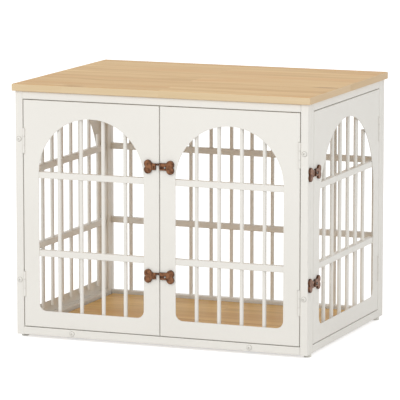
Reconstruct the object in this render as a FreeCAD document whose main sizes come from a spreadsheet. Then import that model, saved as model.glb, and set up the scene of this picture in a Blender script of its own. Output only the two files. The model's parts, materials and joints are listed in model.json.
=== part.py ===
import FreeCAD, Part
import os
import re
from math import pi

import Sketcher
from FreeCAD import Placement, Rotation, Vector

# A dog crate that doubles as an end table: a steel tube cabinet with two arched
# doors in front, one arched door on its right side, a fixed arched panel on its
# left side, a bar grille at the back, and wood boards on top and as the floor.
#
# Row frame: X to the right, Y towards the back, Z up, millimetres. The origin is
# on the floor under the middle of the top board.
#
# Every wall has its own wall frame, in which its pieces are drawn: X runs along
# the wall, to the right as seen from outside, Y goes inwards from the outer face,
# and Z goes up from the lower side of the steel frame.

# ---------------------------------------------------------------- driving sizes
DIMENSIONS = [
    # steel frame
    ("frame_width", 786),
    ("frame_depth", 586),
    ("frame_height", 624),
    ("tube_size", 20),
    ("tube_wall", 1.2),
    ("tube_corner", 2),
    ("end_cap_depth", 6),
    ("plug_play", 0.1),
    ("foot_height", 8),
    ("foot_radius", 9.5),
    # top board and its fixing
    ("top_thickness", 18),
    ("top_overhang", 7),
    ("top_edge_round", 2),
    ("plate_side", 44),
    ("plate_thickness", 2),
    ("plate_hole_inset", 26),
    ("wood_screw_radius", 2),
    ("wood_screw_length", 16),
    ("wood_screw_head_radius", 4),
    ("wood_screw_head_height", 2.2),
    # floor board and its supports
    ("floor_thickness", 9),
    ("floor_margin", 9),
    ("support_thickness", 3),
    ("support_width", 30),
    ("support_spacing", 480),
    ("support_tab_height", 17),
    # frame bolts
    ("bolt_radius", 3),
    ("bolt_play", 0.25),
    ("bolt_head_radius", 7),
    ("bolt_head_height", 3.4),
    ("bolt_socket", 4),
    ("bolt_socket_depth", 1.8),
    ("bolt_reach", 10),
    ("upper_bolt_height", 502),
    ("lower_bolt_height", 141),
    ("nut_radius", 4.5),
    ("nut_flange_radius", 6.5),
    ("nut_flange_thickness", 0.8),
    ("nut_length", 9),
    ("hex_nut_size", 10),
    ("hex_nut_height", 5),
    # doors and arched panels
    ("door_gap", 2),
    ("panel_depth", 18),
    ("sheet_thickness", 1.5),
    ("fold_radius", 2),
    ("door_margin", 42),
    ("left_stile_margin", 20),
    ("left_rail_margin", 32),
    ("window_corner", 19),
    # rails and bars
    ("rail_size", 16),
    ("rail_wall", 1.2),
    ("rail_corner", 1.5),
    ("rail_overlap", 12),
    ("rail_spacing", 200),
    ("bar_radius", 5),
    ("bar_wall", 1),
    ("bar_overlap", 12),
    ("bar_play", 0.05),
    ("front_bar_edge", 53),
    ("side_bar_edge", 59),
    ("left_bar_edge", 23),
    ("back_bar_edge", 54),
    # hinges
    ("upper_hinge_height", 498),
    ("lower_hinge_height", 131),
    ("hinge_length", 64),
    ("knuckle_length", 20.5),
    ("knuckle_gap", 0.5),
    ("knuckle_radius", 3),
    ("hinge_proud", 0.3),
    ("leaf_thickness", 1.2),
    ("frame_leaf_depth", 16),
    ("door_leaf_reach", 26),
    ("pin_radius", 1.5),
    ("pin_play", 0.05),
    ("hinge_play", 0.5),
    # bone latches
    ("latch_from_rail", 38),
    ("latch_reach", 40),
    ("lobe_radius", 10),
    ("lobe_spread", 7.5),
    ("latch_thickness", 5.4),
    ("latch_edge_bevel", 0.7),
    ("block_half_height", 8),
    ("guide_end", 18.5),
    ("guide_foot_length", 9.5),
    ("slide_height", 5),
    ("slide_rise", 4),
    ("slide_thickness", 2.8),
    ("slide_seat", 1.2),
    ("slide_play", 0.3),
    ("socket_wall", 1.3),
    ("slide_length", 33),
    ("slide_travel", 7),
    ("slide_end_room", 1),
    ("tab_width", 8.5),
    ("tab_set_back", 9),
    ("tab_thickness", 3.8),
    ("tab_groove", 2.2),
    ("recess_depth", 2.4),
    ("recess_lip", 4),
    ("recess_wall", 1.2),
    ("recess_length", 17),
    ("keeper_screw_place", 16),
    ("keeper_screw_radius", 1.4),
    ("keeper_screw_head_radius", 2.2),
    ("keeper_screw_head_height", 1.5),
    ("rivet_spread", 13),
    ("rivet_radius", 1.6),
    ("rivet_play", 0.05),
    ("rivet_depth", 2.4),
    ("rivet_tail_radius", 3),
    ("rivet_tail_height", 1.4),
]

FRONT_BARS = 4
SIDE_BARS = 6
LEFT_BARS = 8
BACK_BARS = 12

# ------------------------------------------------------------- worked out sizes
# Formulas of the sizes above. A formula in brackets can be used in another one.
DOORWAY_WIDTH = "(frame_width - 2 * tube_size)"
SIDE_OPENING = "(frame_depth - 4 * tube_size)"
OPENING_HEIGHT = "(frame_height - 2 * tube_size)"
FRONT_DOOR_WIDTH = f"(({DOORWAY_WIDTH} - 3 * door_gap) / 2)"
SIDE_DOOR_WIDTH = f"({SIDE_OPENING} - 2 * door_gap)"
DOOR_HEIGHT = f"({OPENING_HEIGHT} - 2 * door_gap)"
DOOR_BOTTOM = "(tube_size + door_gap)"
FRONT_DOOR_CENTRE = f"((door_gap + {FRONT_DOOR_WIDTH}) / 2)"
RAIL_HEIGHTS = {
    "lower": "(frame_height / 2 - rail_spacing / 2)",
    "upper": "(frame_height / 2 + rail_spacing / 2)",
}
LATCH_HEIGHTS = {
    "lower": f"({RAIL_HEIGHTS['lower']} - latch_from_rail)",
    "upper": f"({RAIL_HEIGHTS['upper']} + latch_from_rail)",
}
SIDE_GAP_CENTRE = f"(-({SIDE_DOOR_WIDTH} + door_gap) / 2)"
BAR_SETBACK = "(sheet_thickness + rail_size / 2)"
HINGE_INSET = "(knuckle_radius - door_gap)"
TUBE_INSIDE = "(tube_size - 2 * tube_wall)"
POST_X = "((frame_width - tube_size) / 2)"
POST_Y = "((frame_depth - tube_size) / 2)"
STILE_Y = "(frame_depth / 2 - 1.5 * tube_size)"
STEEL_TOP = "(foot_height + frame_height)"
TOP_RAIL_Z = f"({STEEL_TOP} - tube_size / 2)"
BOTTOM_RAIL_Z = "(foot_height + tube_size / 2)"
FLOOR_BOTTOM = "(foot_height + support_thickness)"

document = FreeCAD.newDocument("dog_crate_end_table")
sheet = document.addObject("Spreadsheet::Sheet", "sizes")
for row, (alias, value) in enumerate(DIMENSIONS, start=1):
    sheet.set(f"A{row}", alias)
    sheet.set(f"B{row}", str(value))
    sheet.setAlias(f"B{row}", alias)
document.recompute()

ALIASES = {alias for alias, value in DIMENSIONS}
SUB_PARTS = []

# Points nearer than this are taken as the same when edges are picked.
TOUCHING = 0.01
# How far a cutting tool runs past the surface it enters or leaves by.
PAST = 1


# ------------------------------------------------------------------ small tools
def formula(text):
    """Point each size name in a formula at its cell in the sheet."""
    def cell(match):
        word = match.group(0)
        return f"sizes.{word}" if word in ALIASES else word
    return re.sub(r"[a-z][a-z_0-9]*", cell, str(text))


def number(text):
    """The value that a formula has now."""
    return float(sheet.evalExpression(formula(text)))


def bind(item, path, text):
    item.setExpression(path, formula(text))


def place(item, x="0", y="0", z="0", rotation=None):
    """Put an object at a place given by three formulas, turned by a fixed rotation."""
    item.Placement = Placement(Vector(), rotation or Rotation())
    bind(item, "Placement.Base.x", x)
    bind(item, "Placement.Base.y", y)
    bind(item, "Placement.Base.z", z)
    return item


ALONG_X = Rotation(Vector(0, 1, 0), 90)
ALONG_Y = Rotation(Vector(1, 0, 0), -90)
ALONG_Z = Rotation()

# Each wall frame: its place and its turn about Z in the row frame.
FRONT_WALL = {"x": "0", "y": "-frame_depth / 2", "turn": 0}
FRONT_LEFT_WALL = {"x": f"-{FRONT_DOOR_CENTRE}", "y": "-frame_depth / 2", "turn": 0}
FRONT_RIGHT_WALL = {"x": FRONT_DOOR_CENTRE, "y": "-frame_depth / 2", "turn": 0}
RIGHT_WALL = {"x": "frame_width / 2", "y": "0", "turn": 90}
LEFT_WALL = {"x": "-frame_width / 2", "y": "0", "turn": -90}
BACK_WALL = {"x": "0", "y": "frame_depth / 2", "turn": 180}


def on_wall(item, wall):
    turn = Rotation(Vector(0, 0, 1), wall["turn"])
    return place(item, wall["x"], wall["y"], "foot_height", turn)


def box(name, x, y, z, length, width, height):
    item = document.addObject("Part::Box", name)
    bind(item, "Length", length)
    bind(item, "Width", width)
    bind(item, "Height", height)
    return place(item, x, y, z)


def rod(name, radius, length, x, y, z, along=ALONG_Z):
    item = document.addObject("Part::Cylinder", name)
    bind(item, "Radius", radius)
    bind(item, "Height", length)
    return place(item, x, y, z, along)


def drill(name, radius, depth, x, y, z, along=ALONG_Z):
    """A rod that cuts a hole of a given depth, and runs past it at both ends."""
    axis = along.multVec(Vector(0, 0, 1))
    start = [f"{place} - {PAST * round(step)}" for place, step in zip((x, y, z), axis)]
    return rod(name, radius, f"{depth} + {2 * PAST}", *start, along)


def fused(name, pieces):
    item = document.addObject("Part::MultiFuse", name)
    item.Shapes = pieces
    item.Refine = True
    return item


def cut(name, base, tool):
    item = document.addObject("Part::Cut", name)
    item.Base = base
    item.Tool = tool
    return item


def group(name, pieces):
    item = document.addObject("Part::Compound", name)
    item.Links = pieces
    return item


def copy_of(name, original, x="0", y="0", z="0", rotation=None):
    item = document.addObject("App::Link", name)
    item.LinkedObject = original
    return place(item, x, y, z, rotation)


def mirrored(name, original):
    """The mirror image of an object across the plane X = 0 of its frame."""
    item = document.addObject("Part::Mirroring", name)
    item.Source = original
    item.Normal = (1, 0, 0)
    item.Base = (0, 0, 0)
    return item


def sub_part(label, item):
    item.Label = label
    SUB_PARTS.append(item)
    return item


# ------------------------------------------------------------------ body tools
def origin_plane(body, role):
    return next(plane for plane in body.Origin.OriginFeatures if plane.Role == role)


def sketch_on(body, name, role="XY_Plane", offset="0"):
    sketch = body.newObject("Sketcher::SketchObject", name)
    sketch.AttachmentSupport = [(origin_plane(body, role), "")]
    sketch.MapMode = "FlatFace"
    bind(sketch, "AttachmentOffset.Base.z", offset)
    return sketch


def distance(sketch, kind, geometry, point, text):
    """Tie one coordinate of a sketch point to a formula, measured from the origin."""
    index = sketch.addConstraint(Sketcher.Constraint(kind, -1, 1, geometry, point, number(text)))
    bind(sketch, f"Constraints[{index}]", text)


def radius(sketch, geometry, text):
    index = sketch.addConstraint(Sketcher.Constraint("Radius", geometry, number(text)))
    bind(sketch, f"Constraints[{index}]", text)


def draw_rectangle(sketch, left, bottom, right, top):
    """A rectangle between two corners, each coordinate a formula."""
    x0, z0, x1, z1 = number(left), number(bottom), number(right), number(top)
    corners = [Vector(x0, z0), Vector(x1, z0), Vector(x1, z1), Vector(x0, z1)]
    first = len(sketch.Geometry)
    for start, end in zip(corners, corners[1:] + corners[:1]):
        sketch.addGeometry(Part.LineSegment(start, end))
    for side in range(4):
        following = first + (side + 1) % 4
        sketch.addConstraint(Sketcher.Constraint("Coincident", first + side, 2, following, 1))
        direction = "Horizontal" if side % 2 == 0 else "Vertical"
        sketch.addConstraint(Sketcher.Constraint(direction, first + side))
    distance(sketch, "DistanceX", first, 1, left)
    distance(sketch, "DistanceY", first, 1, bottom)
    distance(sketch, "DistanceX", first + 1, 2, right)
    distance(sketch, "DistanceY", first + 1, 2, top)


def draw_circle(sketch, x, z, size):
    centre = Vector(number(x), number(z))
    index = sketch.addGeometry(Part.Circle(centre, Vector(0, 0, 1), number(size)))
    distance(sketch, "DistanceX", index, 3, x)
    distance(sketch, "DistanceY", index, 3, z)
    radius(sketch, index, size)


def draw_arch(sketch, half_width, bottom, springing, corner):
    """A window with rounded lower corners and a half round top."""
    a, z0, zc, r = number(half_width), number(bottom), number(springing), number(corner)
    up = Vector(0, 0, 1)
    sketch.addGeometry(Part.LineSegment(Vector(r - a, z0), Vector(a - r, z0)))
    sketch.addGeometry(Part.ArcOfCircle(Part.Circle(Vector(a - r, z0 + r), up, r), -pi / 2, 0))
    sketch.addGeometry(Part.LineSegment(Vector(a, z0 + r), Vector(a, zc)))
    sketch.addGeometry(Part.ArcOfCircle(Part.Circle(Vector(0, zc), up, a), 0, pi))
    sketch.addGeometry(Part.LineSegment(Vector(-a, zc), Vector(-a, z0 + r)))
    sketch.addGeometry(Part.ArcOfCircle(Part.Circle(Vector(r - a, z0 + r), up, r), pi, 1.5 * pi))
    for edge in range(6):
        sketch.addConstraint(Sketcher.Constraint("Tangent", edge, 2, (edge + 1) % 6, 1))
    sketch.addConstraint(Sketcher.Constraint("Horizontal", 0))
    sketch.addConstraint(Sketcher.Constraint("Vertical", 2))
    sketch.addConstraint(Sketcher.Constraint("Vertical", 4))
    radius(sketch, 1, corner)
    radius(sketch, 5, corner)
    distance(sketch, "DistanceX", 2, 1, half_width)
    distance(sketch, "DistanceX", 4, 1, f"-({half_width})")
    distance(sketch, "DistanceY", 0, 1, bottom)
    distance(sketch, "DistanceY", 3, 3, springing)


def pad(body, sketch, name, length, backwards=False):
    feature = body.newObject("PartDesign::Pad", name)
    feature.Profile = sketch
    feature.Reversed = backwards
    bind(feature, "Length", length)
    body.Tip = feature
    return feature


def pocket(body, sketch, name, depth, backwards=False):
    """A pocket that is checked to take material away."""
    document.recompute()
    before = body.Shape.Volume
    feature = body.newObject("PartDesign::Pocket", name)
    feature.Profile = sketch
    feature.Reversed = backwards
    bind(feature, "Length", depth)
    body.Tip = feature
    document.recompute()
    if not body.Shape.Volume < before:
        raise RuntimeError(f"{body.Name}: pocket {name} cuts nothing")
    return feature


def picked_edges(body, chosen):
    """The last feature of a body and its edges for which the test chosen(edge) holds."""
    document.recompute()
    edges = enumerate(body.Tip.Shape.Edges, start=1)
    return body.Tip, [f"Edge{index}" for index, edge in edges if chosen(edge)]


def fillet(body, name, size, chosen):
    """Round the edges of a body for which the test chosen(edge) holds."""
    base = picked_edges(body, chosen)
    feature = body.newObject("PartDesign::Fillet", name)
    feature.Base = base
    bind(feature, "Radius", size)
    body.Tip = feature


def chamfer(body, name, size, chosen):
    """Bevel the edges of a body for which the test chosen(edge) holds."""
    base = picked_edges(body, chosen)
    feature = body.newObject("PartDesign::Chamfer", name)
    feature.Base = base
    bind(feature, "Size", size)
    body.Tip = feature


# ------------------------------------------------------------ tubes, rails, bars
def hollow_tube(name, size, wall, corner, length):
    """A square tube along its own Z axis, centred on it, with rounded outer corners."""
    body = document.addObject("PartDesign::Body", name)
    profile = sketch_on(body, f"{name}_section")
    draw_rectangle(profile, f"-{size} / 2", f"-{size} / 2", f"{size} / 2", f"{size} / 2")
    inner = f"({size} / 2 - {wall})"
    draw_rectangle(profile, f"-{inner}", f"-{inner}", inner, inner)
    pad(body, profile, f"{name}_length", length)
    corner_place = number(f"{size} / 2")

    def outer_corner(edge):
        middle = edge.CenterOfMass
        return (abs(abs(middle.x) - corner_place) < TOUCHING
                and abs(abs(middle.y) - corner_place) < TOUCHING)

    fillet(body, f"{name}_corners", corner, outer_corner)
    return body


def frame_tube(name, length, x, y, z, along):
    body = hollow_tube(name, "tube_size", "tube_wall", "tube_corner", length)
    return place(body, x, y, z, along)


def rail(name, length, height):
    """A rail of small tube across a wall, centred at X = 0 of the wall frame."""
    body = hollow_tube(name, "rail_size", "rail_wall", "rail_corner", length)
    return place(body, f"-{length} / 2", BAR_SETBACK, height, ALONG_X)


def bar_rod(name, size, x, bottom, top):
    return rod(name, size, f"({top}) - ({bottom})", x, BAR_SETBACK, bottom)


def bar_places(count, span, edge):
    """Places of evenly spread bars, the outer ones an edge distance inside the span."""
    first = f"({edge} - {span} / 2)"
    step = f"(({span} - 2 * {edge}) / {count - 1})"
    return [f"({first} + {index} * {step})" for index in range(count)]


def bars_and_rails(name, wall, bars, rail_length):
    """The upright bars of a wall, each (x, bottom, top), and the two rails that they pass through."""
    tubes = []
    holes = []
    for index, (x, bottom, top) in enumerate(bars):
        outer = bar_rod(f"{name}_bar_{index}", "bar_radius", x, bottom, top)
        inner = bar_rod(f"{name}_bore_{index}", "bar_radius - bar_wall", x, bottom, top)
        tubes.append(cut(f"{name}_tube_{index}", outer, inner))
        holes.append(bar_rod(f"{name}_hole_{index}", "bar_radius + bar_play", x, bottom, top))
    rails = [rail(f"{name}_{level}_rail", rail_length, z) for level, z in RAIL_HEIGHTS.items()]
    drilled = cut(f"{name}_drilled", group(f"{name}_rail_pair", rails), group(f"{name}_holes", holes))
    sub_part(f"{name}_bars", on_wall(group(f"{name}_bar_row", tubes), wall))
    sub_part(f"{name}_rails", on_wall(drilled, wall))


# ----------------------------------------------------------------- arched walls
def arched_bars(places, half_width, bottom, springing):
    """Bars behind an arched window, which reach past its edge by the bar overlap."""
    bars = []
    for x in places:
        rise = f"sqrt({half_width} ^ 2 - {x} ^ 2)"
        bars.append((x, f"{bottom} - bar_overlap", f"{springing} + {rise} + bar_overlap"))
    return bars


def cut_hinge_notches(body, name, half, hinge_side):
    """Notches in the folded edge of a door, around the knuckles of its two hinges."""
    notches = sketch_on(body, f"{name}_notches", "XZ_Plane")
    outside = f"{hinge_side} * ({half} + {PAST})"
    inside = f"{hinge_side} * ({half} - {HINGE_INSET} - knuckle_radius - hinge_play)"
    left, right = (outside, inside) if hinge_side < 0 else (inside, outside)
    for middle in ("upper_hinge_height", "lower_hinge_height"):
        low = f"{middle} - hinge_length / 2 - hinge_play"
        high = f"{middle} + hinge_length / 2 + hinge_play"
        draw_rectangle(notches, left, low, right, high)
    pocket(body, notches, f"{name}_hinge_notches", "knuckle_radius + hinge_play")


def drill_panel(body, name, rivets, screws):
    """Holes in a sheet for the rivets and the screws of its latch castings."""
    holes = sketch_on(body, f"{name}_rivet_holes", "XZ_Plane")
    for x, z in rivets:
        draw_circle(holes, x, z, "rivet_radius + rivet_play")
    for x, z in screws:
        draw_circle(holes, x, z, "keeper_screw_radius + rivet_play")
    pocket(body, holes, f"{name}_rivet_drilling", "2 * sheet_thickness")


def arched_panel(name, half, bottom, height, window):
    """A folded sheet pan, open at the back, with an arched window."""
    body = document.addObject("PartDesign::Body", name)
    outline = sketch_on(body, f"{name}_outline", "XZ_Plane")
    draw_rectangle(outline, f"-{half}", bottom, half, f"{bottom} + {height}")
    pad(body, outline, f"{name}_block", "panel_depth", backwards=True)

    def front_edge(edge):
        return all(abs(vertex.Point.y) < TOUCHING for vertex in edge.Vertexes)

    fillet(body, f"{name}_folds", "fold_radius", front_edge)
    hollow = sketch_on(body, f"{name}_hollow", "XZ_Plane", "-sheet_thickness")
    inner = f"({half} - sheet_thickness)"
    draw_rectangle(hollow, f"-{inner}", f"{bottom} + sheet_thickness",
                   inner, f"{bottom} + {height} - sheet_thickness")
    pocket(body, hollow, f"{name}_inside", "panel_depth")

    opening = sketch_on(body, f"{name}_window", "XZ_Plane")
    draw_arch(opening, *window, "window_corner")
    pocket(body, opening, f"{name}_opening", "2 * sheet_thickness")
    return body


def arched_wall(name, wall, width, bottom, height, side_margin, end_margin, bar_count, bar_edge,
                hinge_side=0, rivets=(), screws=()):
    """An arched panel with its rails and bars. Doors have a hinge side, -1 left or 1 right."""
    half = f"({width} / 2)"
    half_window = f"({half} - {side_margin})"
    window_bottom = f"({bottom} + {end_margin})"
    springing = f"({bottom} + {height} - {end_margin} - {half_window})"
    window = (half_window, window_bottom, springing)
    panel = arched_panel(f"{name}_panel_body", half, bottom, height, window)
    if hinge_side:
        cut_hinge_notches(panel, name, half, hinge_side)
        drill_panel(panel, name, rivets, screws)
    sub_part(f"{name}_panel", on_wall(panel, wall))
    span = f"(2 * {half_window})"
    places = bar_places(bar_count, span, bar_edge)
    bars_and_rails(name, wall, arched_bars(places, *window), f"({span} + 2 * rail_overlap)")


# ---------------------------------------------------------------------- hinges
# A hinge is drawn about its own axis, with the door towards +X and the post
# towards -X, and its middle at Z = 0.
HINGE_SPAN = "(hinge_length / 2)"
MIDDLE_SPAN = "(hinge_length / 2 - knuckle_length)"
SHEET_BACK = "(hinge_proud + sheet_thickness)"


def knuckle(name, bottom, length):
    return rod(name, "knuckle_radius", length, "0", "0", bottom)


def pin_bore(name):
    return drill(name, "pin_radius + pin_play", "hinge_length", "0", "0", f"-{HINGE_SPAN}")


def frame_leaf():
    """The leaf on the post: two outer knuckles and a plate along the post's inner face."""
    pieces = []
    for end, bottom in (("low", f"-{HINGE_SPAN}"), ("high", MIDDLE_SPAN)):
        pieces.append(knuckle(f"frame_knuckle_{end}", bottom, "knuckle_length"))
        pieces.append(box(f"frame_leaf_root_{end}", "-knuckle_radius", "0", bottom,
                          "leaf_thickness", "frame_leaf_depth / 2", "knuckle_length"))
    pieces.append(box("frame_leaf_plate", "-knuckle_radius", "knuckle_radius + hinge_play",
                      f"-{HINGE_SPAN}", "leaf_thickness",
                      "frame_leaf_depth - knuckle_radius - hinge_play", "hinge_length"))
    return cut("frame_leaf", fused("frame_leaf_solid", pieces), pin_bore("frame_leaf_bore"))


def door_leaf():
    """The leaf on the door: the middle knuckle and a plate behind the door's sheet."""
    middle_length = f"(2 * {MIDDLE_SPAN} - 2 * knuckle_gap)"
    bottom = f"(knuckle_gap - {MIDDLE_SPAN})"
    pieces = [
        knuckle("door_knuckle", bottom, middle_length),
        box("door_leaf_root", "0", SHEET_BACK, bottom,
            "door_leaf_reach / 2", "leaf_thickness", middle_length),
        box("door_leaf_plate", "knuckle_radius + hinge_play", SHEET_BACK, f"-{HINGE_SPAN}",
            "door_leaf_reach - knuckle_radius - hinge_play", "leaf_thickness", "hinge_length"),
    ]
    return cut("door_leaf", fused("door_leaf_solid", pieces), pin_bore("door_leaf_bore"))


def hinge_pin():
    """The pin, grouped so that its copies keep its place below the hinge's middle."""
    pin = rod("hinge_pin_rod", "pin_radius", "hinge_length", "0", "0", f"-{HINGE_SPAN}")
    return group("hinge_pin", [pin])


def hinge_pair(name, wall, width, side, leaves):
    """The two hinges of a door, whose hinge side is -1 (left) or 1 (right)."""
    axis = f"({side} * ({width} / 2 - {HINGE_INSET}))"
    for piece, original in leaves.items():
        copies = [
            copy_of(f"{name}_{piece}_{height}", original, axis, "-hinge_proud", f"{height}_hinge_height")
            for height in ("upper", "lower")
        ]
        sub_part(f"{name}_{piece}", on_wall(group(f"{name}_{piece}_pair", copies), wall))


# --------------------------------------------------------------------- latches
# A latch is drawn about the middle of the door gap, with its outer face towards
# -Y. The guide, which carries the sliding bolt, is left of the gap, and the keeper,
# which takes the tip of the bolt, is right of it.
LOBE_X = "(latch_reach - lobe_radius)"
SOCKET_BOTTOM = "(slide_rise - slide_play)"
SOCKET_HEIGHT = "(slide_height + 2 * slide_play)"
SOCKET_SEAT = "(slide_seat - slide_play)"
SOCKET_DEPTH = "(slide_thickness + 2 * slide_play)"
SOCKET_TOP = f"({SOCKET_BOTTOM} + {SOCKET_HEIGHT})"
BLOCK_TOP = f"({SOCKET_TOP} + socket_wall)"
SLIDE_TIP = "(slide_play - door_gap / 2)"
SLIDE_TAIL = f"({SLIDE_TIP} - slide_length)"
KEEPER_START = "(door_gap / 2 + hinge_play)"
RECESS_TOP = f"({SOCKET_BOTTOM} - recess_wall)"
RECESS_BOTTOM = "(recess_lip - block_half_height)"
KEEPER_SCREW_Z = f"(({RECESS_TOP} + {RECESS_BOTTOM}) / 2)"


def bone_end(name, side):
    """The two lobes of a bone end, as pads of one body that reach forwards from Y = 0."""
    body = document.addObject("PartDesign::Body", name)
    for part, z in (("upper", "lobe_spread"), ("lower", "-lobe_spread")):
        sketch = sketch_on(body, f"{name}_{part}_lobe", "XZ_Plane")
        draw_circle(sketch, f"{side} * {LOBE_X}", z, "lobe_radius")
        pad(body, sketch, f"{name}_{part}_pad", "latch_thickness")
    return body


def add_block(body, name, left, bottom, right, top, thickness):
    sketch = sketch_on(body, f"{name}_sketch", "XZ_Plane")
    draw_rectangle(sketch, left, bottom, right, top)
    pad(body, sketch, name, thickness)


def cut_block(body, name, left, bottom, right, top, start, depth):
    sketch = sketch_on(body, f"{name}_sketch", "XZ_Plane", start)
    draw_rectangle(sketch, left, bottom, right, top)
    pocket(body, sketch, name, depth, backwards=True)


def drill_rivet_holes(body, name, side):
    sketch = sketch_on(body, f"{name}_rivet_holes", "XZ_Plane")
    for z in ("rivet_spread", "-rivet_spread"):
        draw_circle(sketch, f"{side} * {LOBE_X}", z, "rivet_radius + rivet_play")
    pocket(body, sketch, f"{name}_rivet_drilling", "rivet_depth + rivet_play", backwards=True)


def bevel_front(body, name):
    front = -number("latch_thickness")

    def front_edge(edge):
        return all(abs(vertex.Point.y - front) < TOUCHING for vertex in edge.Vertexes)

    chamfer(body, f"{name}_bevel", "latch_edge_bevel", front_edge)


def bolt_guide():
    """The bone end that guides the sliding bolt, with a thin foot under its thumb tab."""
    body = bone_end("guide", -1)
    add_block(body, "guide_core", f"-{LOBE_X}", "-block_half_height",
              "-guide_end", BLOCK_TOP, "latch_thickness")
    bevel_front(body, "guide")
    add_block(body, "guide_foot", "-guide_end", "-block_half_height",
              "guide_foot_length - guide_end", RECESS_TOP, SOCKET_SEAT)
    cut_block(body, "guide_channel", f"{SLIDE_TAIL} - slide_end_room", SOCKET_BOTTOM,
              "0", SOCKET_TOP, SOCKET_SEAT, SOCKET_DEPTH)
    drill_rivet_holes(body, "guide", -1)
    return body


def bolt_keeper():
    """The bone end that takes the tip of the bolt, with a block up to the gap."""
    body = bone_end("keeper", 1)
    add_block(body, "keeper_block", KEEPER_START, "-block_half_height",
              LOBE_X, BLOCK_TOP, "latch_thickness")
    bevel_front(body, "keeper")
    cut_block(body, "keeper_socket", "0", SOCKET_BOTTOM,
              f"{SLIDE_TIP} + slide_travel + slide_end_room", SOCKET_TOP, SOCKET_SEAT, SOCKET_DEPTH)
    cut_block(body, "keeper_recess", f"{KEEPER_START} + recess_wall", RECESS_BOTTOM,
              f"{KEEPER_START} + recess_wall + recess_length", RECESS_TOP,
              "latch_thickness - recess_depth", "recess_depth")
    drill_rivet_holes(body, "keeper", 1)
    hole = sketch_on(body, "keeper_screw_hole", "XZ_Plane")
    draw_circle(hole, "keeper_screw_place", KEEPER_SCREW_Z, "keeper_screw_radius + rivet_play")
    pocket(body, hole, "keeper_screw_drilling", "latch_thickness", backwards=True)
    return body


def sliding_bolt():
    """The bolt with its thumb tab, drawn back so that its tip is in the door gap."""
    body = document.addObject("PartDesign::Body", "sliding_bolt")
    bar = sketch_on(body, "sliding_bolt_bar", "XZ_Plane", "slide_seat")
    draw_rectangle(bar, SLIDE_TAIL, "slide_rise", SLIDE_TIP, "slide_rise + slide_height")
    pad(body, bar, "sliding_bolt_bar_pad", "slide_thickness")
    tab = sketch_on(body, "sliding_bolt_tab", "XZ_Plane", "slide_seat")
    draw_rectangle(tab, "-tab_set_back - tab_width", "-block_half_height",
                   "-tab_set_back", "slide_rise + slide_height")
    pad(body, tab, "sliding_bolt_tab_pad", "tab_thickness")
    low = number("-block_half_height")

    def tab_corner(edge):
        middle = edge.CenterOfMass
        return abs(middle.z - low) < TOUCHING and edge.BoundBox.YLength > TOUCHING

    fillet(body, "sliding_bolt_tab_round", "tab_width / 3", tab_corner)
    groove_left = "(-tab_set_back - (tab_width + tab_groove) / 2)"
    cut_block(body, "sliding_bolt_groove", groove_left, RECESS_BOTTOM,
              f"{groove_left} + tab_groove", RECESS_TOP,
              "slide_seat + tab_thickness / 2", "tab_thickness")
    return body


def latch_rivet(name, wall_thickness):
    """A rivet whose shank passes a sheet from its inside, with its tail behind it."""
    shank = rod(f"{name}_shank", "rivet_radius", f"rivet_depth + {wall_thickness}",
                "0", "-rivet_depth", "0", ALONG_Y)
    tail = rod(f"{name}_tail", "rivet_tail_radius", "rivet_tail_height",
               "0", wall_thickness, "0", ALONG_Y)
    return fused(name, [shank, tail])


def keeper_screw():
    """A screw from the front through the keeper and the sheet, with its nut behind."""
    shank = rod("keeper_screw_shank", "keeper_screw_radius",
                "latch_thickness - recess_depth + sheet_thickness + rivet_tail_height",
                "0", "recess_depth - latch_thickness", "0", ALONG_Y)
    head = rod("keeper_screw_head", "keeper_screw_head_radius", "keeper_screw_head_height",
               "0", "recess_depth - latch_thickness - keeper_screw_head_height", "0", ALONG_Y)
    tail = rod("keeper_screw_tail", "rivet_tail_radius", "rivet_tail_height",
               "0", "sheet_thickness", "0", ALONG_Y)
    return fused("keeper_screw", [shank, head, tail])


def rivet_points(gap_x, side):
    """Places of the rivets on one side (-1 left, 1 right) of the two latches at a gap."""
    points = []
    for height in LATCH_HEIGHTS.values():
        for z in ("rivet_spread", "-rivet_spread"):
            points.append((f"({gap_x} + {side} * {LOBE_X})", f"({height} + {z})"))
    return points


def latch_castings(name, wall, gap_x, casting, rivet, side):
    """The upper and lower casting on one side of a gap, and their rivets."""
    castings = [
        copy_of(f"{name}_{level}", casting, gap_x, "0", z)
        for level, z in LATCH_HEIGHTS.items()
    ]
    sub_part(f"{name}s", on_wall(group(f"{name}_pair", castings), wall))
    rivets = [
        copy_of(f"{name}_rivet_{index}", rivet, x, "0", z)
        for index, (x, z) in enumerate(rivet_points(gap_x, side))
    ]
    sub_part(f"{name}_rivets", on_wall(group(f"{name}_rivet_set", rivets), wall))


def keeper_screw_points(gap_x):
    return [
        (f"({gap_x} + keeper_screw_place)", f"({height} + {KEEPER_SCREW_Z})")
        for height in LATCH_HEIGHTS.values()
    ]


def keeper_screws(name, wall, gap_x, screw):
    copies = [
        copy_of(f"{name}_copy", screw, x, "0", z)
        for x, z in keeper_screw_points(gap_x)
    ]
    sub_part(name, on_wall(group(f"{name}_pair", copies), wall))


def latch_bolts(name, wall, gap_x, bolt):
    for level, z in LATCH_HEIGHTS.items():
        copy = copy_of(f"{name}_{level}_copy", bolt, gap_x, "0", z)
        sub_part(f"{name}_{level}_latch_bolt", on_wall(group(f"{name}_{level}_slide", [copy]), wall))


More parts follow.
